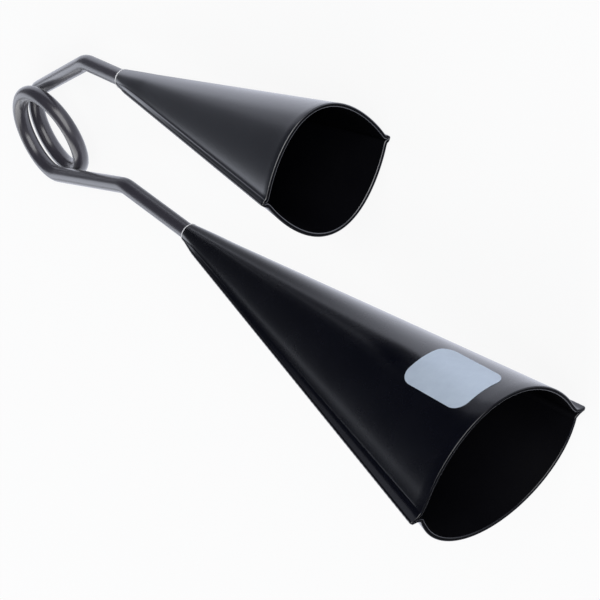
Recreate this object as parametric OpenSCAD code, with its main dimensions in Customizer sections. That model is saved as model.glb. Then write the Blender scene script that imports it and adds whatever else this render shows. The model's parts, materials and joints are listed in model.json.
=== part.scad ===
// Pair of hand bells on one sprung steel rod, lying on its side.
// Each piece is drawn in the bell frame: X runs from the handle to the mouths,
// Y is the axis of the spring loop, and Z runs from the large bell to the small one.
// The last step turns that frame over, so that the part lies on Z = 0.

/* [Rod] */
// Diameter of the steel rod
rod_d = 8; // [6:0.5:10]
// Diameter of the spring loop, on the rod's centre line
loop_d = 45; // [38:1:60]
// Gap between neighbouring turns of the loop
turn_gap = 0.9; // [0.8:0.1:3]
// Distance that the loop's top leans towards the large bell's side
loop_lean = 2; // [0:0.1:3]
// Radius of the bend in each arm, on the rod's centre line
bend_r = 16; // [10:1:24]
// Growth of the rod's diameter in each bend
bend_swell = 0.06; // [0.04:0.01:0.3]
// Length of rod that reaches into each bell
rod_in_bell = 16.5; // [12:0.5:24]

/* [Arms] */
// Angle at which the large bell's arm leaves the loop
large_arm_rise = 18; // [8:0.5:26]
// Length of the large bell's arm from the loop to its bend
large_arm_run = 69; // [60:1:90]
// Length of the large bell's arm from its bend to the bell
large_neck_run = 52; // [30:0.5:70]
// Angle at which the small bell's arm leaves the loop
small_arm_rise = 32.5; // [26:0.5:45]
// Length of the small bell's arm from the loop to its bend
small_arm_run = 62.5; // [48:0.5:75]
// Length of the small bell's arm from its bend to the bell
small_neck_run = 33; // [20:0.5:50]
// Angle between the axes of the two bells
bell_spread = 9.6; // [6:0.2:16]

/* [Bells] */
// Thickness of the pressed steel sheet
sheet_t = 1.8; // [1:0.1:2.2]
// Length of the large bell
large_len = 207.5; // [180:0.5:240]
// Width of the large bell's mouth over its seams
large_w = 97.5; // [80:0.5:120]
// Depth of the large bell's facing shell at the mouth
large_facing_depth = 35.8; // [25:0.2:40]
// Depth of the large bell's outer shell at the mouth
large_outer_depth = 33.2; // [25:0.2:40]
// Width of the large bell's seam flange at the mouth
large_flange = 4.6; // [3.5:0.1:8]
// Length of the small bell
small_len = 152.5; // [130:0.5:180]
// Width of the small bell's mouth over its seams
small_w = 70; // [56:1:84]
// Depth of each shell of the small bell at the mouth
small_depth = 29.4; // [22:0.1:32]
// Width of the small bell's seam flange at the mouth
small_flange = 1; // [0.8:0.1:4]

/* [Necks and welds] */
// Thickness of the sheet at the neck's end, where it is ground down
neck_sheet = 0.5; // [0.4:0.1:1.2]
// Distance over which the sheet is ground down towards the neck's end
neck_len = 12; // [9:0.5:16]
// Width of the seam flanges at the neck's end
neck_flange = 0.2; // [0.2:0.1:0.6]
// Half width that a bell's straight sides would have at the neck's end
side_at_neck = 5.3; // [5.2:0.1:7]
// Distance over which a shell's dome takes its form behind the neck
root_len = 26; // [20:1:45]
// Room between the rod and the neck that is welded to it
neck_clearance = 0.2; // [0.1:0.05:0.4]
// Size of the weld round the rod at each neck
neck_weld = 0.9; // [0.8:0.1:1.8]
// Height of the weld bead along each seam
seam_bead = 0.9; // [0.4:0.1:1.6]

/* [Label] */
// Length of the blank label along the bell
label_len = 35; // [20:1:44]
// Width of the blank label across the bell
label_w = 27; // [16:1:36]
// Corner radius of the blank label
label_r = 6; // [2:0.5:7]
// Thickness of the blank label
label_t = 0.25; // [0.1:0.05:0.5]
// Distance from the large bell's mouth to the middle of the label
label_back = 27; // [24:1:90]
// Angle of the label round the bell, away from the top of its dome
label_turn = -2; // [-20:1:20]
// Height of the label's underside over the bell, for its glue
label_glue = 0.15; // [0.1:0.05:0.3]

/* [Hidden] */
$fn = 64;

// Counts of flat sides, rings and steps
tube_sides = 16;
rings_per_turn = 36;
dome_steps = 26;
flange_steps = 3;
bead_steps = 7;
neck_steps = 4;
root_steps = 2;
body_steps = 5;
label_steps = 10;

// Shares that shape the pressed shells
facing_power_share = 1.5;
outer_power_share = 1.1;
small_power_share = 1.75;
fillet_share = 1.4;
ease_share = 0.1;
settle_share = 0.1;
outfall_share = 2;
neck_flare_share = 0.25;
side_blend_share = 0.1;
flange_tip_share = 0.5;
thinned_share = 0.65;
thinned_from_share = 1.4;
bead_start_share = 0.3;

rod_r = rod_d / 2;
loop_r = loop_d / 2;
turn_pitch = rod_d + turn_gap;
neck_r = rod_r + neck_clearance + neck_sheet;
first_turn = -large_arm_rise / 360;
last_turn = 1.5 - small_arm_rise / 360;
loop_turns = last_turn - first_turn;
// Distance between the planes of the two arms, so that the turns keep their gap
arm_offset = turn_pitch * (1 - ease_share) / (1 / loop_turns - ease_share / 2);

function unit(v) = v / norm(v);
function along(angle) = [cos(angle), 0, sin(angle)];
function limit(x, low, high) = min(max(x, low), high);
function flat(lists) = [for (list = lists) each list];

// The spring loop: turn 0 is its lowest point, and it climbs from the large bell's arm to the small one's
function climb(k) = let (rate = 1 / (1 - ease_share), e = ease_share)
    k < e ? rate * k * k / 2 / e : k > 1 - e ? 1 - rate * (1 - k) * (1 - k) / 2 / e : rate * (k - e / 2);
function climb_rate(k) = limit(min(k, 1 - k) / ease_share, 0, 1) / (1 - ease_share);
function settled(turn) = let (middle_turn = (first_turn + last_turn) / 2, room = loop_turns / 2 - abs(turn - middle_turn))
    middle_turn + sign(turn - middle_turn) * (loop_turns / 2
        - (room < settle_share ? (room * room / settle_share + settle_share) / 2 : room));
function settled_rate(turn) = limit(min(turn - first_turn, last_turn - turn) / settle_share, 0, 1);
function loop_side(turn) = arm_offset * (climb((turn - first_turn) / loop_turns) - 1 / 2)
    + loop_lean * cos(360 * settled(turn));
function loop_point(turn) = [-loop_r * sin(360 * turn), loop_side(turn), -loop_r * cos(360 * turn)];
function loop_out(turn) = [-sin(360 * turn), 0, -cos(360 * turn)];
function loop_way(turn) = let (rise = arm_offset / loop_turns * climb_rate((turn - first_turn) / loop_turns)
        - 2 * PI * loop_lean * sin(360 * settled(turn)) * settled_rate(turn))
    unit([-cos(360 * turn), rise / (2 * PI * loop_r), sin(360 * turn)]);

loop_steps = ceil(loop_turns * rings_per_turn);
loop_stops = [for (i = [0:loop_steps]) first_turn + loop_turns * i / loop_steps];
loop_line = [for (turn = loop_stops) loop_point(turn)];
least_gap = min([for (i = [0:loop_steps]) for (j = [i + rings_per_turn / 2:1:loop_steps])
    norm(loop_line[i] - loop_line[j])]) - rod_d;
echo(least_gap_of_spring_loop_mm = least_gap);

// A bell is listed as [neck point, tilt, length, half width of its sheet, flange], and a shell adds its depth and power
large_start = loop_point(first_turn);
small_start = loop_point(last_turn);
large_tilt = -bell_spread / 2;
small_tilt = bell_spread / 2;
large_neck = large_start + large_arm_run * along(large_arm_rise) + large_neck_run * along(large_tilt);
small_neck = small_start + small_arm_run * along(small_arm_rise) + small_neck_run * along(small_tilt);
large_bell = [large_neck, large_tilt, large_len, large_w / 2 - seam_bead, large_flange];
small_bell = [small_neck, small_tilt, small_len, small_w / 2 - seam_bead, small_flange];
large_facing = concat(large_bell, [large_facing_depth, facing_power_share]);
large_outer = concat(large_bell, [large_outer_depth, outer_power_share]);
small_half = concat(small_bell, [small_depth, small_power_share]);

// Half width over the flanges, flange width, sheet and a shell's depth, at a distance s from the neck
function between(a, b, share) = a + (b - a) * share;
function edge_half_w(bell, s) = -soft_max(-(neck_r + neck_flange + neck_flare_share * s),
    -between(side_at_neck, bell[3], s / bell[2]), side_blend_share * side_at_neck);
function flange_w(bell, s) = between(neck_flange, bell[4], s / bell[2]);
function sheet_at(s) = between(neck_sheet, sheet_t, limit(s / neck_len, 0, 1));
function shell_depth(shell, s) = between(neck_r, shell[5], s / shell[2]);
function dome_power(shell, s) = between(1, shell[6], limit(s / root_len, 0, 1));

// The outer line of a shell's section, as [y, z] with the seam at z = 0
function soft_max(a, b, k) = max(a, b) + pow(max(k - abs(a - b), 0), 2) / (4 * k);
function outer_height(shell, s, y) = let (
    flange = flange_w(shell, s),
    inner_w = edge_half_w(shell, s) - flange,
    inside = max(1 - pow(y / inner_w, 2), 0),
    dome = abs(y) < inner_w
        ? shell_depth(shell, s) * pow(inside, dome_power(shell, s) / 2)
        : -outfall_share * (abs(y) - inner_w),
        flat_part = sheet_at(s) * between(1, flange_tip_share, limit((abs(y) - inner_w) / flange, 0, 1)))
    soft_max(dome, flat_part, fillet_share * flange);
function section_stops(bell, s) = let (
    flange = flange_w(bell, s),
    edge = edge_half_w(bell, s),
    inner_w = edge - flange)
    concat([for (i = [0:flange_steps - 1]) -edge + flange * i / flange_steps],
        [for (i = [0:dome_steps]) inner_w * sin(-90 + 180 * i / dome_steps)],
        [for (i = [1:flange_steps]) inner_w + flange * i / flange_steps]);
function outer_line(shell, s) = [for (y = section_stops(shell, s)) [y, outer_height(shell, s, y)]];
function line_normal(line, i) = let (
    step = line[min(i + 1, len(line) - 1)] - line[max(i - 1, 0)])
    unit([-step[1], step[0]]);
function raised(line, by) = [for (i = [0:len(line) - 1]) line[i] + by * line_normal(line, i)];
// The inner line follows the outer one by the sheet's thickness, which is less where the sheet flares out
function thickness(shell, s, y) = let (
    flange = flange_w(shell, s),
    past = limit((abs(y) - edge_half_w(shell, s) + thinned_from_share * flange) / flange, 0, 1))
    sheet_at(s) * between(1, thinned_share, past * past * (3 - 2 * past));
function inner_line(shell, s, outer) = let (edge = edge_half_w(shell, s))
    [for (i = [0:len(outer) - 1]) let (p = outer[i] - thickness(shell, s, outer[i][0]) * line_normal(outer, i))
        [limit(p[0], -edge, edge), max(p[1], 0)]];

// Distances from the neck at which a shell's sections stand
function stations(bell) = concat(
    [for (i = [0:neck_steps]) neck_len * i / neck_steps],
    [for (i = [1:root_steps]) between(neck_len, root_len, i / root_steps)],
    [for (i = [1:body_steps]) between(root_len, bell[2], i / body_steps)]);
function ring_at(s, line) = [for (p = line) [s, p[0], p[1]]];
function reversed(list) = [for (i = [len(list) - 1:-1:0]) list[i]];
function shell_ring(shell, s) = let (outer = outer_line(shell, s))
    ring_at(s, concat(outer, reversed(inner_line(shell, s, outer))));
function seam_ring(bell, s) = let (
    edge = edge_half_w(bell, s),
    out = seam_bead * between(bead_start_share, 1, limit(s / neck_len, 0, 1)))
    ring_at(s, [for (i = [0:bead_steps]) let (turn = -90 + 180 * i / bead_steps)
        [edge + out * cos(turn), flange_tip_share * sheet_at(s) * sin(turn)]]);

// The rest position: the loop and the two seams on the part's +Y side touch the ground
function bell_point(bell, p) = bell[0] + [p[0] * cos(bell[1]) - p[2] * sin(bell[1]), p[1],
    p[0] * sin(bell[1]) + p[2] * cos(bell[1])];
function mouth_tip(bell) = bell_point(bell, [bell[2], bell[3] + seam_bead, 0]);
function up_over(p) = unit(cross(mouth_tip(large_bell) - p, mouth_tip(small_bell) - p));
function lowest_on_loop(up) = let (heights = [for (p = loop_line) p * up], low = min(heights))
    loop_line[[for (i = [0:loop_steps]) if (heights[i] == low) i][0]] - rod_r * up;
first_up = up_over(small_start + [0, rod_r, 0]);
up = up_over(lowest_on_loop(first_up));
ahead = unit([1, 0, 0] - up[0] * up);
aside = cross(up, ahead);

function mouth_outline(shell, side) = [for (p = outer_line(shell, shell[2]))
    bell_point(shell, [shell[2], p[0], side * p[1]])];
outline = concat([mouth_tip(large_bell), mouth_tip(small_bell)],
    mouth_outline(large_facing, 1), mouth_outline(large_outer, -1),
    mouth_outline(small_half, 1), mouth_outline(small_half, -1));
function reach(way) = max(max([for (p = outline) p * way]), max([for (p = loop_line) p * way]) + rod_r);
function middle(way) = (reach(way) - reach(-way)) / 2;
origin = middle(ahead) * ahead + middle(aside) * aside - reach(-up) * up;
lie_down = [for (way = [ahead, aside, up]) concat(way, [-(origin * way)])];

// A solid through rings of equal counts; each ring is a closed loop, whose two halves face each other
module loft(rings) {
    n = len(rings[0]);
    m = len(rings);
    walls = [for (j = [0:m - 2]) for (i = [0:n - 1]) let (
        a = j * n + i,
        b = j * n + (i + 1) % n)
        each [[a, b, b + n], [a, b + n, a + n]]];
    front = [for (i = [0:n / 2 - 2]) each [[n - 1 - i, i + 1, i], [n - 1 - i, n - 2 - i, i + 1]]];
    last = (m - 1) * n;
    back = [for (face = front) [for (i = [2:-1:0]) face[i] + last]];
    polyhedron(points = flat(rings), faces = concat(walls, front, back));
}

module placed() {
    multmatrix(lie_down) children();
}

module on_bell(bell) {
    placed() translate(bell[0]) rotate([0, -bell[1], 0]) children();
}

function tube_ring(centre, way, out) = let (side = cross(way, out))
    [for (i = [0:tube_sides - 1]) let (turn = 360 * i / tube_sides)
        centre + rod_r * (cos(turn) * out + sin(turn) * side)];

module spring_loop() {
    start_way = along(large_arm_rise);
    end_way = along(small_arm_rise);
    rings = concat(
        [tube_ring(large_start + rod_d * start_way, -start_way, loop_out(first_turn))],
        [for (turn = loop_stops) tube_ring(loop_point(turn), loop_way(turn), loop_out(turn))],
        [tube_ring(small_start + rod_d * end_way, end_way, loop_out(last_turn))]);
    color([0.06, 0.06, 0.07]) placed() loft(rings);
}

// One arm of the rod: a straight run, a slightly swollen bend and the run that ends inside the bell
module arm(start, rise, run, tilt, neck_run) {
    turn = rise - tilt;
    tangent = bend_r * tan(turn / 2);
    color([0.06, 0.06, 0.07]) placed() translate(start + (run - tangent) * along(rise))
        rotate([0, -rise, 0]) translate([0, 0, -bend_r]) rotate([-90, -90, 0]) {
            translate([bend_r, bend_swell, 0]) rotate([90, 0, 0])
                cylinder(d = rod_d, h = run - tangent - rod_d + bend_swell);
            rotate_extrude(angle = turn) translate([bend_r, 0]) circle(d = rod_d + bend_swell);
            rotate([0, 0, turn]) translate([bend_r, -bend_swell, 0]) rotate([-90, 0, 0])
                cylinder(d = rod_d, h = neck_run - tangent + rod_in_bell + bend_swell);
        }
}

module large_bell_arm() {
    arm(large_start, large_arm_rise, large_arm_run, large_tilt, large_neck_run);
}

module small_bell_arm() {
    arm(small_start, small_arm_rise, small_arm_run, small_tilt, small_neck_run);
}

// Half of a bell, pressed from sheet, with a flange along each seam
module pressed(shell) {
    color([0.07, 0.07, 0.08]) loft([for (s = stations(shell)) shell_ring(shell, s)]);
}

// The weld bead that closes both flanges along one seam
module seam(bell) {
    color([0.09, 0.09, 0.1]) loft([for (s = stations(bell)) seam_ring(bell, s)]);
}

// The weld bead round the rod, against the end of the neck
module neck_bead() {
    color([0.12, 0.12, 0.13]) rotate([0, 90, 0]) rotate_extrude()
        translate([rod_r, 0]) intersection() {
            circle(r = neck_weld);
            translate([0, -neck_weld]) square(neck_weld);
        }
}

module large_facing_shell() {
    on_bell(large_bell) pressed(large_facing);
}

module large_outer_shell() {
    on_bell(large_bell) mirror([0, 0, 1]) pressed(large_outer);
}

module large_upper_seam() {
    on_bell(large_bell) mirror([0, 1, 0]) seam(large_bell);
}

module large_resting_seam() {
    on_bell(large_bell) seam(large_bell);
}

module large_neck_weld() {
    on_bell(large_bell) neck_bead();
}

module small_facing_shell() {
    on_bell(small_bell) mirror([0, 0, 1]) pressed(small_half);
}

module small_outer_shell() {
    on_bell(small_bell) pressed(small_half);
}

module small_upper_seam() {
    on_bell(small_bell) mirror([0, 1, 0]) seam(small_bell);
}

module small_resting_seam() {
    on_bell(small_bell) seam(small_bell);
}

module small_neck_weld() {
    on_bell(small_bell) neck_bead();
}

// The blank label follows the dome of the large bell's facing shell
function label_half(x) = let (past = max(abs(x) - label_len / 2 + label_r, 0))
    label_w / 2 - label_r + sqrt(max(label_r * label_r - past * past, 0));
function label_line(s, half) = let (
    inner_w = edge_half_w(large_bell, s) - flange_w(large_bell, s))
    [for (i = [0:label_steps]) let (
        across = half * (2 * i / label_steps - 1),
        y = inner_w * sin(label_turn + across / inner_w * 180 / PI))
        [y, outer_height(large_facing, s, y)]];
label_stops = [for (i = [-label_steps:label_steps]) label_len / 2 * sin(90 * i / label_steps)];
function label_ring(x) = let (s = large_len - label_back + x, line = label_line(s, label_half(x)))
    ring_at(s, concat(raised(line, label_glue + label_t), reversed(raised(line, label_glue))));

module blank_label() {
    color([0.72, 0.76, 0.82]) on_bell(large_bell) loft([for (x = label_stops) label_ring(x)]);
}

spring_loop();
large_bell_arm();
small_bell_arm();
large_facing_shell();
large_outer_shell();
large_upper_seam();
large_resting_seam();
large_neck_weld();
small_facing_shell();
small_outer_shell();
small_upper_seam();
small_resting_seam();
small_neck_weld();
blank_label();
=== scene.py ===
import json
import math
import bpy
import numpy as np
from mathutils import Matrix, Vector

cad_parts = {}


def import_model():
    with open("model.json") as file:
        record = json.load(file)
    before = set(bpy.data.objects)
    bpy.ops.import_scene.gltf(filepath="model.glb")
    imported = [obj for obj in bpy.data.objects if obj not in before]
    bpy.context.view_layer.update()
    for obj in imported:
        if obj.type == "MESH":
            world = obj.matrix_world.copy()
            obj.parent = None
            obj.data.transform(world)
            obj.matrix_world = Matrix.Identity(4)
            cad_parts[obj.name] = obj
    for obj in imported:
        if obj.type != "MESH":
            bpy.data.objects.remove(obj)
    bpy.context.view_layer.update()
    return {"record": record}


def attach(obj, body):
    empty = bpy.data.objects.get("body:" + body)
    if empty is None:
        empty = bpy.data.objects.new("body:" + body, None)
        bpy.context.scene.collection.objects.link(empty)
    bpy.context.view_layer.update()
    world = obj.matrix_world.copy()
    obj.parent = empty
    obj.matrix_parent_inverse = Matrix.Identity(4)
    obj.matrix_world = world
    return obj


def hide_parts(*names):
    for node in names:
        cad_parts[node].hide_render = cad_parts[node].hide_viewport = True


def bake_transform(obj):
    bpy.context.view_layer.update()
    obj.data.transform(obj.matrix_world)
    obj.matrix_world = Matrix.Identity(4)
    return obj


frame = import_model()

# The camera stands where the photograph was taken from, rolled so that the bells point down to the right
EYE = (0.54667, 0.42224, 0.49646)
TOWARDS_EYE = Vector((0.61174, 0.55112, 0.56749))
IMAGE_RIGHT = Vector((0.70399, -0.05209, -0.7083))
LENS_MM = 110.92
NEAREST, FARTHEST = 0.01, 60

camera = bpy.data.objects.new("camera", bpy.data.cameras.new("camera"))
bpy.context.scene.collection.objects.link(camera)
camera.data.lens = LENS_MM
camera.data.clip_start = NEAREST
camera.data.clip_end = FARTHEST
turned = Matrix((IMAGE_RIGHT, TOWARDS_EYE.cross(IMAGE_RIGHT), TOWARDS_EYE)).transposed().to_4x4()
camera.matrix_world = Matrix.Translation(EYE) @ turned
bpy.context.scene.camera = camera

# The same sizes as in the part's source, in millimetres and degrees
ROD_R = 4.0
LOOP_R = 22.5
TURN_GAP = 0.9
LOOP_LEAN = 2.0
BEND_R = 16.0
ROD_IN_BELL = 16.5
BELL_SPREAD = 9.6
LARGE_ARM = {"rise": 18.0, "run": 69.0, "neck_run": 52.0, "tilt": -BELL_SPREAD / 2}
SMALL_ARM = {"rise": 32.5, "run": 62.5, "neck_run": 33.0, "tilt": BELL_SPREAD / 2}
LARGE_LEN, LARGE_W, LARGE_FLANGE = 207.5, 97.5, 4.6
SMALL_LEN, SMALL_W, SMALL_FLANGE = 152.5, 70.0, 1.0
LARGE_FACING_DEPTH, LARGE_OUTER_DEPTH, SMALL_DEPTH = 35.8, 33.2, 29.4
SHEET = 1.8
SEAM_BEAD = 0.9
NECK_SHEET = 0.5
NECK_CLEARANCE = 0.2
NECK_R = ROD_R + NECK_CLEARANCE + NECK_SHEET
NECK_LEN = 12.0
NECK_FLANGE = 0.2
NECK_WELD = 0.9
LINE_AT_NECK = 5.3
ROOT_LEN = 26.0

# And the same shares and counts
EASE = 0.1
SETTLE = 0.1
RINGS_PER_TURN = 36
FACING_POWER, OUTER_POWER, SMALL_POWER = 1.5, 1.1, 1.75
NECK_FLARE = 0.25
LINE_BLEND = 0.1
FILLET = 1.4
OUTFALL = 2.0
FLANGE_TIP = 0.5
FLARE_SHEET = 0.65
FLARE_FROM = 1.4


def along(angle):
    return np.array([math.cos(math.radians(angle)), 0.0, math.sin(math.radians(angle))])


def unit(v):
    return v / np.linalg.norm(v)


# The spring loop's centre line, with turn 0 at its lowest point
FIRST_TURN = -LARGE_ARM["rise"] / 360
LAST_TURN = 1.5 - SMALL_ARM["rise"] / 360
TURNS = LAST_TURN - FIRST_TURN
ARM_OFFSET = (2 * ROD_R + TURN_GAP) * (1 - EASE) / (1 / TURNS - EASE / 2)


def loop_point(turn):
    k = (turn - FIRST_TURN) / TURNS
    rate = 1 / (1 - EASE)
    if k < EASE:
        climb = rate * k * k / 2 / EASE
    elif k > 1 - EASE:
        climb = 1 - rate * (1 - k) ** 2 / 2 / EASE
    else:
        climb = rate * (k - EASE / 2)
    middle = (FIRST_TURN + LAST_TURN) / 2
    room = TURNS / 2 - abs(turn - middle)
    if room < SETTLE:
        room = (room * room / SETTLE + SETTLE) / 2
    settled = middle + math.copysign(TURNS / 2 - room, turn - middle)
    side = ARM_OFFSET * (climb - 0.5) + LOOP_LEAN * math.cos(2 * math.pi * settled)
    angle = 2 * math.pi * turn
    return np.array([-LOOP_R * math.sin(angle), side, -LOOP_R * math.cos(angle)])


def neck_point(start, arm):
    return start + arm["run"] * along(arm["rise"]) + arm["neck_run"] * along(arm["tilt"])


LARGE_START = loop_point(FIRST_TURN)
SMALL_START = loop_point(LAST_TURN)
LARGE_BELL = {"name": "large", "neck": neck_point(LARGE_START, LARGE_ARM), "tilt": LARGE_ARM["tilt"],
              "length": LARGE_LEN, "half_w": LARGE_W / 2 - SEAM_BEAD, "flange": LARGE_FLANGE}
SMALL_BELL = {"name": "small", "neck": neck_point(SMALL_START, SMALL_ARM), "tilt": SMALL_ARM["tilt"],
              "length": SMALL_LEN, "half_w": SMALL_W / 2 - SEAM_BEAD, "flange": SMALL_FLANGE}
LARGE_FACING = dict(LARGE_BELL, depth=LARGE_FACING_DEPTH, power=FACING_POWER)
LARGE_OUTER = dict(LARGE_BELL, depth=LARGE_OUTER_DEPTH, power=OUTER_POWER)
SMALL_HALF = dict(SMALL_BELL, depth=SMALL_DEPTH, power=SMALL_POWER)


# The part lies on its side, on the loop and on one seam of each bell
def mouth_tip(bell):
    return bell["neck"] + bell["length"] * along(bell["tilt"]) + [0, bell["half_w"] + SEAM_BEAD, 0]


def up_over(point):
    return unit(np.cross(mouth_tip(LARGE_BELL) - point, mouth_tip(SMALL_BELL) - point))


def lowest_on_loop(up):
    stops = np.linspace(FIRST_TURN, LAST_TURN, math.ceil(TURNS * RINGS_PER_TURN) + 1)
    return min((loop_point(turn) for turn in stops), key=up.dot) - ROD_R * up


up = up_over(lowest_on_loop(up_over(SMALL_START + [0, ROD_R, 0])))
ahead = unit(np.array([1, 0, 0]) - up[0] * up)
aside = np.cross(up, ahead)

# These take millimetres in the frame of the loop and bells to millimetres, and to metres, in the row's
MM = 0.001
loop_centre = Vector(frame["record"]["behaviour"]["joints"][0]["pos_m"]) / MM
LIE_DOWN = Matrix.Translation(loop_centre) @ Matrix((ahead, aside, up)).to_4x4()
TO_ROW = Matrix.Diagonal((MM, MM, MM, 1.0)) @ LIE_DOWN


# A bell's own frame: X from the neck to the mouth, Y across, Z out of the dome
def bell_place(bell, side=1):
    """From a bell's own frame to the row's; side -1 turns the dome to the bell's other side."""
    neck = Matrix.Translation(tuple(bell["neck"]))
    tilt = Matrix.Rotation(-math.radians(bell["tilt"]), 4, "Y")
    return TO_ROW @ neck @ tilt @ Matrix.Diagonal((1, 1, side, 1))


def smooth_less(a, b, blend):
    return np.minimum(a, b) - np.maximum(blend - np.abs(a - b), 0) ** 2 / (4 * blend)


def smooth_more(a, b, blend):
    return -smooth_less(-a, -b, blend)


def edge_half_w(bell, s):
    straight = LINE_AT_NECK + (bell["half_w"] - LINE_AT_NECK) * s / bell["length"]
    return float(smooth_less(NECK_R + NECK_FLANGE + NECK_FLARE * s, straight, LINE_BLEND * LINE_AT_NECK))


def flange_w(bell, s):
    return NECK_FLANGE + (bell["flange"] - NECK_FLANGE) * s / bell["length"]


def sheet_at(s):
    """The sheet's thickness: it is ground down towards the neck's end."""
    return NECK_SHEET + (SHEET - NECK_SHEET) * min(s / NECK_LEN, 1)


def crown_height(shell, s):
    return NECK_R + (shell["depth"] - NECK_R) * s / shell["length"]


def past_flange(bell, s, y):
    """How far across the flange a point is: 0 at its root, 1 at its tip."""
    flange = flange_w(bell, s)
    return np.clip((np.abs(y) - edge_half_w(bell, s) + flange) / flange, 0, 1)


def outer_height(shell, s, y):
    flange = flange_w(shell, s)
    inner_w = edge_half_w(shell, s) - flange
    power = 1 + (shell["power"] - 1) * min(max(s / ROOT_LEN, 0), 1)
    inside = np.maximum(1 - (y / inner_w) ** 2, 0)
    dome = np.where(np.abs(y) < inner_w, crown_height(shell, s) * inside ** (power / 2),
                    -OUTFALL * (np.abs(y) - inner_w))
    flat = sheet_at(s) * (1 - (1 - FLANGE_TIP) * past_flange(shell, s, y))
    return smooth_more(dome, flat, FILLET * flange)


FLANGE_STEPS = 6
DOME_STEPS = 84


def section_line(shell, s):
    """Outer points of a shell's section, as rows of [y, z]."""
    flange, edge = flange_w(shell, s), edge_half_w(shell, s)
    inner_w = edge - flange
    steps = np.linspace(0, 1, FLANGE_STEPS + 1)[:-1]
    dome = inner_w * np.sin(np.linspace(-math.pi / 2, math.pi / 2, DOME_STEPS + 1))
    y = np.concatenate([-edge + flange * steps, dome, (edge - flange * steps)[::-1]])
    return np.stack([y, outer_height(shell, s, y)], 1)


def lowered(line, by):
    step = np.gradient(line, axis=0)
    normal = np.stack([-step[:, 1], step[:, 0]], 1)
    return line - by[:, None] * normal / np.linalg.norm(normal, axis=1)[:, None]


# Meshes
def new_mesh(name, points, faces, place, sharp):
    """A smooth mesh, with edges that turn by more than sharp degrees kept sharp."""
    mesh = bpy.data.meshes.new(name)
    mesh.from_pydata([tuple(p) for p in points], [], [tuple(f) for f in faces])
    mesh.transform(place)
    mesh.validate()
    mesh.shade_smooth()
    mesh.set_sharp_from_angle(angle=math.radians(sharp))
    piece = bpy.data.objects.new(name, mesh)
    bpy.context.scene.collection.objects.link(piece)
    return piece


def outward(piece):
    """Turns the faces outwards if the closed mesh is inside out."""
    mesh = piece.data
    mesh.calc_loop_triangles()
    co = np.array([v.co for v in mesh.vertices])
    tri = np.array([t.vertices for t in mesh.loop_triangles])
    a, b, c = co[tri[:, 0]], co[tri[:, 1]], co[tri[:, 2]]
    if np.einsum("ij,ij->i", a, np.cross(b, c)).sum() < 0:
        mesh.flip_normals()
    return piece


def loft(name, rings, place, sharp, ends="strip"):
    """A closed mesh through rings of equal counts, with caps as strips between a ring's two halves, or as fans."""
    m, n = len(rings), len(rings[0])
    points = np.concatenate(rings)
    faces = []
    for j in range(m - 1):
        for i in range(n):
            k = (i + 1) % n
            faces.append((j * n + i, j * n + k, (j + 1) * n + k, (j + 1) * n + i))
    for base in (0, (m - 1) * n):
        if ends == "strip":
            cap = [(base + i, base + i + 1, base + n - 2 - i, base + n - 1 - i) for i in range(n // 2 - 1)]
        else:
            points = np.concatenate([points, [points[base:base + n].mean(0)]])
            cap = [(base + i, base + (i + 1) % n, len(points) - 1) for i in range(n)]
        faces += cap if base else [f[::-1] for f in cap]
    return outward(new_mesh(name, points, faces, place, sharp))


def at_station(s, line):
    """Section points [y, z] as points of the bell's own frame, at a distance s from the neck."""
    return np.column_stack([np.full(len(line), s), line])


# The rod: both arms and the spring loop are one bent piece
TUBE_SIDES = 40
TUBE_SHARP = 60
END_ROUND = 0.5
END_STEPS = 5
LOOP_RINGS = 270
STRAIGHT_RINGS = 14
BEND_RINGS = 12


def arm_line(start, arm):
    """Points from the loop along one arm, round its bend and into the bell."""
    rise, tilt = math.radians(arm["rise"]), math.radians(arm["tilt"])
    tangent = BEND_R * math.tan((rise - tilt) / 2)
    straight = arm["run"] - tangent
    points = [start + x * along(arm["rise"]) for x in np.linspace(0, straight, STRAIGHT_RINGS)[1:]]
    bend_start = start + straight * along(arm["rise"])
    for a in np.linspace(rise, tilt, BEND_RINGS)[1:]:
        points.append(bend_start + BEND_R * np.array([math.sin(rise) - math.sin(a), 0, math.cos(a) - math.cos(rise)]))
    bend_end = points[-1]
    reach = arm["neck_run"] - tangent + ROD_IN_BELL
    return points + [bend_end + x * along(arm["tilt"]) for x in np.linspace(0, reach, STRAIGHT_RINGS)[1:]]


def rod_line():
    loop = [loop_point(t) for t in np.linspace(FIRST_TURN, LAST_TURN, LOOP_RINGS)]
    return np.array(arm_line(LARGE_START, LARGE_ARM)[::-1] + loop + arm_line(SMALL_START, SMALL_ARM))


def round_rod(name, line, radius):
    way = np.gradient(line, axis=0)
    way /= np.linalg.norm(way, axis=1)[:, None]
    out = np.cross(way[0], [0, 1, 0])
    turns = np.linspace(0, 2 * math.pi, TUBE_SIDES, endpoint=False)[:, None]
    rings = []
    last = len(line) - 1
    for i, (point, d) in enumerate(zip(line, way)):
        out = unit(out - out.dot(d) * d)
        side = np.cross(d, out)
        ring = np.cos(turns) * out + np.sin(turns) * side
        if i in (0, last):
            inward = d if i == 0 else -d
            rounding = [(END_ROUND * (1 - math.cos(a)), radius - END_ROUND * (1 - math.sin(a)))
                        for a in np.linspace(0, math.pi / 2, END_STEPS)]
            caps = [point + inward * shift + r * ring for shift, r in rounding]
            rings += caps if i == 0 else caps[::-1]
        else:
            rings.append(point + radius * ring)
    return loft(name, rings, TO_ROW, TUBE_SHARP, ends="fan")


rod = round_rod("sprung_steel_rod", rod_line(), ROD_R)
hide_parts("spring_loop", "large_bell_arm", "small_bell_arm")
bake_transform(rod)

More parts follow.
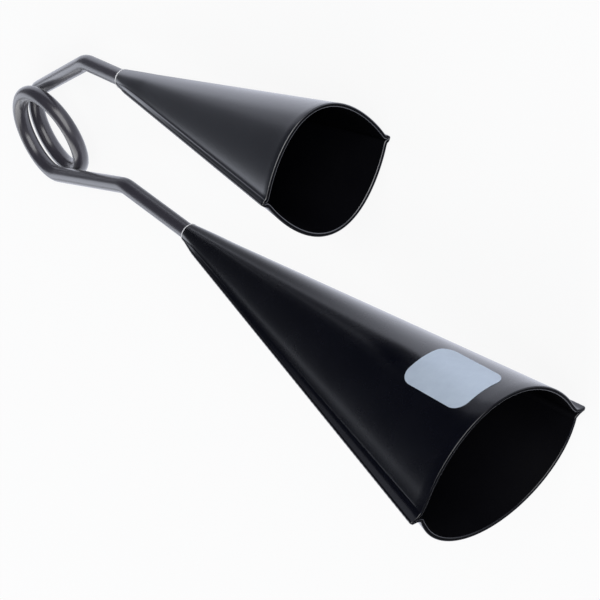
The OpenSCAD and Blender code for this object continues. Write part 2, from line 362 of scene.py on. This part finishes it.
# The pressed shells
SHELL_SHARP = 50
NECK_RINGS, ROOT_RINGS, BODY_RINGS = 9, 8, 33
NECK_END_STEPS = 6
NECK_END_TURN = 1.5
RIM_ROUND = 0.4
RIM_STEPS = 7
RIM_CAP_SHARE = 0.35
# A face whose middle is this near to the mouth's plane lies on the rim's flat
RIM_CLOSE = 0.001


def shell_stations(shell):
    return np.concatenate([
        np.linspace(0, NECK_LEN, NECK_RINGS + 1),
        np.linspace(NECK_LEN, ROOT_LEN, ROOT_RINGS + 1)[1:],
        np.linspace(ROOT_LEN, shell["length"], BODY_RINGS + 1)[1:]])


def sheet_lines(shell, s):
    """The outer and the inner line of a section; the sheet is thinner where it flares into the flange."""
    outer = section_line(shell, s)
    edge, flange = edge_half_w(shell, s), flange_w(shell, s)
    near = np.clip((np.abs(outer[:, 0]) - edge + FLARE_FROM * flange) / flange, 0, 1)
    thick = sheet_at(s) * (1 - (1 - FLARE_SHEET) * near * near * (3 - 2 * near))
    inner = lowered(outer, thick)
    inner[:, 1] = np.maximum(inner[:, 1], 0)
    inner[:, 0] = np.clip(inner[:, 0], -edge, edge)
    return outer, inner


def end_profile(shell, s):
    """Each ring at a station, as its distance from the neck and the share of the sheet that it spans."""
    if s == 0:
        bead = NECK_SHEET / 2
        return [(bead - bead * math.sin(a), math.cos(a)) for a in np.linspace(NECK_END_TURN, 0, NECK_END_STEPS)]
    if s == shell["length"]:
        share = 2 * RIM_ROUND / SHEET
        turns = np.linspace(0, math.pi / 2, RIM_STEPS)
        corner = [(s - RIM_ROUND + RIM_ROUND * math.sin(a), 1 - share + share * math.cos(a)) for a in turns]
        return corner + [(s, RIM_CAP_SHARE)]
    return [(s, 1)]


def pressed_shell(name, shell, side):
    rings = []
    for s in shell_stations(shell):
        outer, inner = sheet_lines(shell, s)
        middle, half = (outer + inner) / 2, (outer - inner) / 2
        for x, share in end_profile(shell, s):
            rings.append(at_station(x, np.concatenate([middle + half * share, (middle - half * share)[::-1]])))
    piece = loft(name, rings, bell_place(shell, side), SHELL_SHARP)
    return piece


def dull_inside(piece, shell, side, material):
    """The coat is thin and dull on the inside and on the sheared rim, and full on the rim's two corners."""
    mesh = piece.data
    mesh.materials.append(material)
    back = bell_place(shell, side).inverted()
    for face in mesh.polygons:
        centre, way = back @ face.center, back.to_3x3() @ face.normal
        on_rim = centre.x > shell["length"] - RIM_CLOSE
        inside = centre.x < shell["length"] - RIM_ROUND and way.y * centre.y + way.z * centre.z < 0
        face.material_index = int(on_rim or inside)


SHELLS = [("large_facing_shell", LARGE_FACING, 1, "large_bell"), ("large_outer_shell", LARGE_OUTER, -1, "large_bell"),
          ("small_facing_shell", SMALL_HALF, -1, "small_bell"), ("small_outer_shell", SMALL_HALF, 1, "small_bell")]
shells = {}
for node, shell, side, body in SHELLS:
    piece = pressed_shell("pressed_" + node, shell, side)
    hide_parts(node)
    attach(piece, body)
    shells[node] = piece

# The weld beads along the seams, which swell from nothing near the neck and round off at the mouth
SEAM_SHARP = 60
SEAM_START, SEAM_STEP, SEAM_END = 1.5, 0.9, 1.4
SEAM_END_STEPS = 7
SEAM_END_TURN = 1.5
SEAM_ROOT, SEAM_SWELL = 1.0, 11.0
SEAM_SINK, SEAM_BACK = 0.2, 0.35
SEAM_END_SHARE = 0.4
BEAD_STEPS = 12
RIPPLE, RIPPLE_RATE = 0.06, 2.3
RIPPLE_DRIFT, RIPPLE_DRIFT_RATE = 0.7, 0.31


def seam_weld(name, bell, side):
    end = bell["length"] - SEAM_END
    turns = np.linspace(-math.pi / 2, math.pi / 2, BEAD_STEPS)
    stops = np.concatenate([np.arange(SEAM_START, end, SEAM_STEP),
                            end + SEAM_END * np.sin(np.linspace(0, SEAM_END_TURN, SEAM_END_STEPS))])
    rings = []
    for s in stops:
        edge = edge_half_w(bell, s)
        mouth = math.sqrt(max(1 - (max(0, s - end) / SEAM_END) ** 2, 0))
        swell = min(1, (s - SEAM_ROOT) / SEAM_SWELL)
        ripple = 1 - RIPPLE * (1 + math.sin(s * RIPPLE_RATE + RIPPLE_DRIFT * math.sin(s * RIPPLE_DRIFT_RATE)))
        out = SEAM_BEAD * ripple * mouth * swell
        tall = FLANGE_TIP * sheet_at(s) * (SEAM_END_SHARE + (1 - SEAM_END_SHARE) * mouth)
        front = np.stack([edge - SEAM_SINK + (out + SEAM_SINK) * np.cos(turns), tall * np.sin(turns)], 1)
        back = np.stack([np.full(BEAD_STEPS, edge - SEAM_BACK), front[::-1, 1]], 1)
        rings.append(at_station(s, np.concatenate([front, back]) * [side, 1]))
    piece = loft(name, rings, bell_place(bell), SEAM_SHARP)
    return piece


# The rings of weld round the rod
NECK_SHARP = 70
NECK_SIDES = 96
NECK_RING_STEPS = 9
NECK_WELD_SINK = 0.3
NECK_BACK_SHARE = 0.9
NECK_RIPPLE, NECK_RIPPLES = 0.05, 17
NECK_DRIFT, NECK_DRIFTS = 0.9, 3


def neck_weld(name, bell):
    around = np.linspace(0, 2 * math.pi, NECK_SIDES, endpoint=False)
    ripple = 1 - NECK_RIPPLE * (1 + np.sin(around * NECK_RIPPLES + NECK_DRIFT * np.sin(around * NECK_DRIFTS)))

    def ring(x, r):
        return np.stack([x, r * np.cos(around), r * np.sin(around)], 1)

    rings = [ring(-NECK_WELD * math.cos(a) * ripple, ROD_R + NECK_WELD * math.sin(a) * ripple)
             for a in np.linspace(0, math.pi / 2, NECK_RING_STEPS)]
    rings += [ring(np.full(NECK_SIDES, x), ROD_R - NECK_WELD_SINK)
              for x in (NECK_WELD_SINK, -NECK_WELD * NECK_BACK_SHARE)]
    m, n = len(rings), NECK_SIDES
    faces = [(j * n + i, j * n + (i + 1) % n, ((j + 1) % m) * n + (i + 1) % n, ((j + 1) % m) * n + i)
             for j in range(m) for i in range(n)]
    piece = outward(new_mesh(name, np.concatenate(rings), faces, bell_place(bell), NECK_SHARP))
    return piece


seams, neck_welds = [], []
for bell, body in ((LARGE_BELL, "large_bell"), (SMALL_BELL, "small_bell")):
    for word, side in (("upper", -1), ("resting", 1)):
        node = f"{bell['name']}_{word}_seam"
        piece = seam_weld("welded_" + node, bell, side)
        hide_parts(node)
        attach(piece, body)
        seams.append(piece)
    piece = neck_weld(f"bead_{bell['name']}_neck", bell)
    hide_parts(f"{bell['name']}_neck_weld")
    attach(piece, body)
    neck_welds.append(piece)

# The blank label
LABEL_LEN, LABEL_W, LABEL_R = 35.0, 27.0, 6.0
LABEL_BACK, LABEL_TURN = 27.0, -2.0
LABEL_SHARP = 50
LABEL_STEPS, LABEL_CROSS = 40, 28
LABEL_LIFT, LABEL_FILM = 0.04, 0.16
LEAST_BULGE = 0.05
SLOPE_STEP = 0.2


def label_point(x, across, height):
    s = LARGE_BELL["length"] - LABEL_BACK + x
    inner_w = edge_half_w(LARGE_BELL, s) - flange_w(LARGE_BELL, s)

    def on_shell(offset):
        y = inner_w * math.sin(math.radians(LABEL_TURN) + (across + offset) / inner_w)
        return np.array([s, y, float(outer_height(LARGE_FACING, s, np.array(y)))])

    here = on_shell(0.0)
    way = unit(on_shell(SLOPE_STEP) - here)
    return here + height * np.array([0, -way[2], way[1]])


def blank_label():
    rings = []
    for x in LABEL_LEN / 2 * np.sin(np.linspace(-math.pi / 2, math.pi / 2, LABEL_STEPS + 1)):
        past = max(abs(x) - LABEL_LEN / 2 + LABEL_R, 0)
        half = LABEL_W / 2 - LABEL_R + math.sqrt(max(LABEL_R ** 2 - past ** 2, LEAST_BULGE ** 2))
        line = np.linspace(-half, half, LABEL_CROSS)
        top = [label_point(x, a, LABEL_LIFT + LABEL_FILM) for a in line]
        under = [label_point(x, a, LABEL_LIFT) for a in line[::-1]]
        rings.append(np.array(top + under))
    piece = loft("silver_blank_label", rings, bell_place(LARGE_BELL), LABEL_SHARP)
    return piece


label = blank_label()
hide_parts("blank_label")
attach(label, "large_bell")


# Shader maths: a wrapped socket adds a node for each sum that it is in
class Wire:
    def __init__(self, tree, socket):
        self.tree, self.socket = tree, socket

    def math(self, operation, *values):
        node = self.tree.nodes.new("ShaderNodeMath")
        node.operation = operation
        join(self.tree, zip(node.inputs, values))
        return Wire(self.tree, node.outputs[0])

    def __add__(self, other):
        return self.math("ADD", self, other)

    def __radd__(self, other):
        return self.math("ADD", other, self)

    def __sub__(self, other):
        return self.math("SUBTRACT", self, other)

    def __rsub__(self, other):
        return self.math("SUBTRACT", other, self)

    def __mul__(self, other):
        return self.math("MULTIPLY", self, other)

    def __rmul__(self, other):
        return self.math("MULTIPLY", other, self)

    def clamped(self, low=0.0, high=1.0):
        return self.math("MINIMUM", self.math("MAXIMUM", self, low), high)


def join(tree, pairs):
    """Links each wire to its socket, and sets the sockets that have a plain value."""
    for socket, value in pairs:
        if isinstance(value, Wire):
            tree.links.new(value.socket, socket)
        else:
            socket.default_value = value


class Finish:
    """The nodes of a material or a world, which are added one call at a time."""
    def __init__(self, owner):
        self.owner = owner
        owner.use_nodes = True
        self.tree = owner.node_tree
        self.tree.nodes.clear()

    def node(self, kind, settings=None, out=0, **values):
        """Values are given by their sockets' names, of which the first socket counts where two share one."""
        node = self.tree.nodes.new("ShaderNode" + kind)
        for key, value in (settings or {}).items():
            setattr(node, key, value)
        sockets = {s.name.replace(" ", "_"): s for s in reversed(node.inputs.values()) if s.enabled}
        join(self.tree, ((sockets[key], value) for key, value in values.items()))
        return Wire(self.tree, node.outputs[out])

    def vector(self, operation, a, b=(0.0, 0.0, 0.0)):
        node = self.tree.nodes.new("ShaderNodeVectorMath")
        node.operation = operation
        join(self.tree, zip(node.inputs, (a, b)))
        return Wire(self.tree, node.outputs["Value" if operation in ("DOT_PRODUCT", "LENGTH") else "Vector"])

    def mix(self, factor, a, b):
        node = self.tree.nodes.new("ShaderNodeMix")
        node.data_type = "RGBA"
        colours = [s for s in node.inputs if s.type == "RGBA"]
        join(self.tree, ((node.inputs[0], factor), (colours[0], opaque(a)), (colours[1], opaque(b))))
        return Wire(self.tree, next(s for s in node.outputs if s.type == "RGBA"))

    def noise(self, scale, detail=3.0, roughness=0.5):
        place = self.node("TexCoord", out="Object")
        return self.node("TexNoise", Vector=place, Scale=scale, Detail=detail, Roughness=roughness)

    def bump(self, height, strength, distance):
        return self.node("Bump", Height=height, Strength=strength, Distance=distance)

    def ramp(self, value, over, becomes, way="SMOOTHSTEP"):
        """A value that goes from the first to the second number of becomes while the input crosses over."""
        return self.node("MapRange", {"interpolation_type": way}, Value=value,
                         From_Min=over[0], From_Max=over[1], To_Min=becomes[0], To_Max=becomes[1])

    def ray(self, kind):
        return self.node("LightPath", out=f"Is {kind} Ray")

    def ends_in(self, shader, output="OutputMaterial"):
        end = self.tree.nodes.new("ShaderNode" + output)
        self.tree.links.new(shader.socket, end.inputs["Surface"])
        return self.owner


def opaque(colour):
    return colour if isinstance(colour, Wire) else (*colour, 1.0)


def give(material, *pieces):
    for piece in pieces:
        piece.data.materials.clear()
        piece.data.materials.append(material)


# Black enamel has a fine orange peel, a few dull patches and specks of dust under a clear gloss
PEEL_DEPTH, PEEL_DETAIL = 0.00004, 2.0
PATCH_SCALE, PATCH_DETAIL, PATCH_ROUGHNESS = 45.0, 4.0, 0.6
PATCH_PEEL, PATCH_DULL, PATCH_SHARE = 0.25, 0.12, 0.5
PALER, PALER_BY = 1.8, 0.002
SPECK_SCALE, SPECK_DETAIL, SPECK_FROM, SPECK_GAIN = 2600.0, 2.0, 0.72, 5.0
SPECK_DULL, SPECK_SHARE = 0.2, 0.5
DUST = (0.09, 0.09, 0.1)
HAZE_ROUGH = 0.35
GRAIN_DEPTH = 0.00003


def painted(name, colour, rough, coat_rough, peel=0.35, peel_size=1.3, coat=1.0, coat_ior=1.4, gloss=1.0, haze=0.0):
    """Peel is the strength of the orange peel and peel_size its width in millimetres; haze is a dusty sheen."""
    f = Finish(bpy.data.materials.new(name))
    peel_height = f.noise(1 / (peel_size * MM), PEEL_DETAIL)
    patches = f.noise(PATCH_SCALE, PATCH_DETAIL, PATCH_ROUGHNESS)
    specks = (f.noise(SPECK_SCALE, SPECK_DETAIL) - SPECK_FROM).clamped() * SPECK_GAIN
    paler = tuple(min(1.0, c * PALER + PALER_BY) for c in colour)
    base = f.mix(patches.clamped() * PATCH_SHARE, colour, paler)
    base = f.mix(specks.clamped() * SPECK_SHARE, base, DUST)
    roughness = (rough + PATCH_DULL * (patches - 0.5) + SPECK_DULL * specks).clamped()
    normal = f.bump(peel_height + PATCH_PEEL * patches, peel, PEEL_DEPTH)
    shader = f.node("BsdfPrincipled", Base_Color=base, Roughness=roughness, Specular_IOR_Level=gloss, Normal=normal,
                    Coat_Weight=coat, Coat_Roughness=coat_rough, Coat_IOR=coat_ior,
                    Sheen_Weight=haze, Sheen_Roughness=HAZE_ROUGH)
    return f.ends_in(shader)


shell_coat = painted("shell_coat", (0.001, 0.0014, 0.0045), rough=0.27, coat_rough=0.2, gloss=0.5)
# The small bell's coat is a lighter and glossier copy of the same black coat: painted light, so that the small bell
# looks brighter than the large one
small_coat_painted_lighter = painted("small_shell_coat", (0.003, 0.004, 0.009), rough=0.3, coat_rough=0.22, coat_ior=1.57)
inside_coat = painted("inside_coat", (0.001, 0.001, 0.002), rough=0.6, coat_rough=0.5, peel=0.5, peel_size=1.6,
                      coat=0.0, coat_ior=1.5, gloss=0.08)
rod_coat = painted("rod_coat", (0.036, 0.034, 0.044), rough=0.3, coat_rough=0.24, peel=0.2, peel_size=1.6,
                   coat_ior=1.45, gloss=0.7, haze=0.25)
weld_coat = painted("weld_coat", (0.002, 0.002, 0.004), rough=0.3, coat_rough=0.22, peel=0.5, peel_size=0.9, gloss=0.5)


def plain_metal(name, dark, pale, metal, rough, rough_by, grain_scale, bump):
    """The neck beads, painted near white as a highlight, and the silver film: their colour and roughness follow one
    grain.
    """
    f = Finish(bpy.data.materials.new(name))
    grain = f.noise(grain_scale)
    shader = f.node("BsdfPrincipled", Base_Color=f.mix(grain.clamped(), dark, pale), Metallic=metal,
                    Roughness=(rough + rough_by * grain).clamped(), Normal=f.bump(grain, bump, GRAIN_DEPTH))
    return f.ends_in(shader)


# The neck beads are painted near white: a painted highlight for the bright line round the rod where it enters each
# bell
bare_weld = plain_metal("bare_weld", (0.86, 0.86, 0.88), (0.96, 0.96, 0.97), metal=0.1,
                        rough=0.3, rough_by=0.2, grain_scale=900.0, bump=0.2)
label_film = plain_metal("label", (0.5, 0.585, 0.7), (0.59, 0.68, 0.79), metal=0.2,
                         rough=0.38, rough_by=0.1, grain_scale=300.0, bump=0.1)

give(shell_coat, shells["large_facing_shell"], shells["large_outer_shell"])
give(small_coat_painted_lighter, shells["small_facing_shell"], shells["small_outer_shell"])
for node, shell, side, _ in SHELLS:
    dull_inside(shells[node], shell, side, inside_coat)
give(rod_coat, rod)
give(weld_coat, *seams)
give(bare_weld, *neck_welds)
give(label_film, label)

# The floor is white to the camera. In reflections it glows with painted light and shade: a blue-tinted white under the
# handle and on the near side, painted darker beyond the mouths and on the far side, and with a painted shadow between
# the necks.
FLOOR_HALF = 12.0
FLOOR_GREY = (0.85, 0.85, 0.85)
PAINTED_REFLECTION_TINT = (0.85, 0.88, 1.0)
FLOOR_GLOW = 0.9
PAINTED_SHADOW_CENTRE = (-0.05, 0.01, 0.0)
PAINTED_SHADOW_HALF = (0.12, 0.038)
PAINTED_SHADOW_OVER, PAINTED_SHADOW_DIM = (0.3, 1.3), (0.3, 1.0)
PAINTED_MOUTH_SHADE_OVER, PAINTED_MOUTH_SHADE = (0.16, 0.27), (1.0, 0.12)
PAINTED_FAR_SHADE_OVER, PAINTED_FAR_SHADE = (0.09, 0.15), (1.0, 0.4)


def floor():
    corners = [(-FLOOR_HALF, -FLOOR_HALF, 0), (FLOOR_HALF, -FLOOR_HALF, 0),
               (FLOOR_HALF, FLOOR_HALF, 0), (-FLOOR_HALF, FLOOR_HALF, 0)]
    piece = new_mesh("studio_floor", corners, [(0, 1, 2, 3)], Matrix.Identity(4), sharp=40)
    f = Finish(bpy.data.materials.new("studio_floor"))
    seen = f.ray("Camera")
    mirrored = (f.ray("Glossy") + f.ray("Transmission")).clamped()
    where = f.node("NewGeometry", out="Position")
    from_painted_shadow = f.vector("MULTIPLY", f.vector("SUBTRACT", where, PAINTED_SHADOW_CENTRE),
                          (1 / PAINTED_SHADOW_HALF[0], 1 / PAINTED_SHADOW_HALF[1], 0.0))
    # Painted shade: the floor's glow in reflections is dimmed between the necks, beyond the mouths and on the far side
    painted_reflection_shade = (f.ramp(f.vector("LENGTH", from_painted_shadow), PAINTED_SHADOW_OVER, PAINTED_SHADOW_DIM)
           * f.ramp(f.vector("DOT_PRODUCT", where, (1.0, 0.0, 0.0)), PAINTED_MOUTH_SHADE_OVER, PAINTED_MOUTH_SHADE)
           * f.ramp(f.vector("DOT_PRODUCT", where, (0.0, 1.0, 0.0)), PAINTED_FAR_SHADE_OVER, PAINTED_FAR_SHADE))
    plain = f.node("BsdfDiffuse", Color=opaque(FLOOR_GREY))
    glow = f.node("Emission", Color=f.mix(seen, PAINTED_REFLECTION_TINT, (1.0, 1.0, 1.0)), Strength=seen + mirrored * painted_reflection_shade)
    mixed = f.tree.nodes.new("ShaderNodeMixShader")
    join(f.tree, zip(mixed.inputs, (seen * FLOOR_GLOW + mirrored, plain, glow)))
    piece.data.materials.append(f.ends_in(Wire(f.tree, mixed.outputs[0])))


# The world is dark, with pale cards beyond the loop, behind the bells and to their left. Each card has the way
# that it lies in, the cosines between which it fades in, and the glow at its edge and in its middle.
CARD_WHITE = (0.86, 0.9, 1.0)
WORLD_LIGHT = 0.3
LOOP_CARD = (-1.0, 0.0, 0.0)
LOOP_CARD_OVER, LOOP_CARD_GLOW = (0.78, 1.0), (0.015, 0.13)
BACK_CARD = (-0.501, -0.852, -0.15)
BACK_CARD_OVER, BACK_CARD_GLOW = (0.85, 0.99), (0.0, 1.0)
LEFT_CARD = (-0.851, -0.387, 0.353)
LEFT_CARD_OVER, LEFT_CARD_GLOW = (0.93, 0.985), (0.0, 1.5)


def world():
    f = Finish(bpy.data.worlds.new("studio"))
    way = f.node("TexCoord", out="Generated")
    diffuse = f.ray("Diffuse")
    cards = (f.ramp(f.vector("DOT_PRODUCT", way, LOOP_CARD), LOOP_CARD_OVER, LOOP_CARD_GLOW, "LINEAR")
             + f.ramp(f.vector("DOT_PRODUCT", way, BACK_CARD), BACK_CARD_OVER, BACK_CARD_GLOW)
             + f.ramp(f.vector("DOT_PRODUCT", way, LEFT_CARD), LEFT_CARD_OVER, LEFT_CARD_GLOW))
    glow = f.node("Background", Color=opaque(CARD_WHITE), Strength=cards * (1 - diffuse) + WORLD_LIGHT * diffuse)
    bpy.context.scene.world = f.ends_in(glow, "OutputWorld")


def softbox(name, place, target, wide, high, watts):
    lamp = bpy.data.lights.new(name, "AREA")
    lamp.shape = "RECTANGLE"
    lamp.size, lamp.size_y, lamp.energy = wide, high, watts
    piece = bpy.data.objects.new(name, lamp)
    bpy.context.scene.collection.objects.link(piece)
    piece.location = place
    piece.rotation_mode = "QUATERNION"
    piece.rotation_quaternion = (Vector(place) - Vector(target)).to_track_quat("Z", "Y")


floor()
world()
softbox("key_softbox", place=(1.45, 1.25, 1.2), target=(0, 0, 0), wide=2.4, high=2.4, watts=45)
softbox("back_softbox", place=(-0.35, -1.1, 0.85), target=(-0.1, 0, 0.02), wide=1.6, high=1.0, watts=9)

scene = bpy.context.scene
scene.view_settings.view_transform = "Standard"
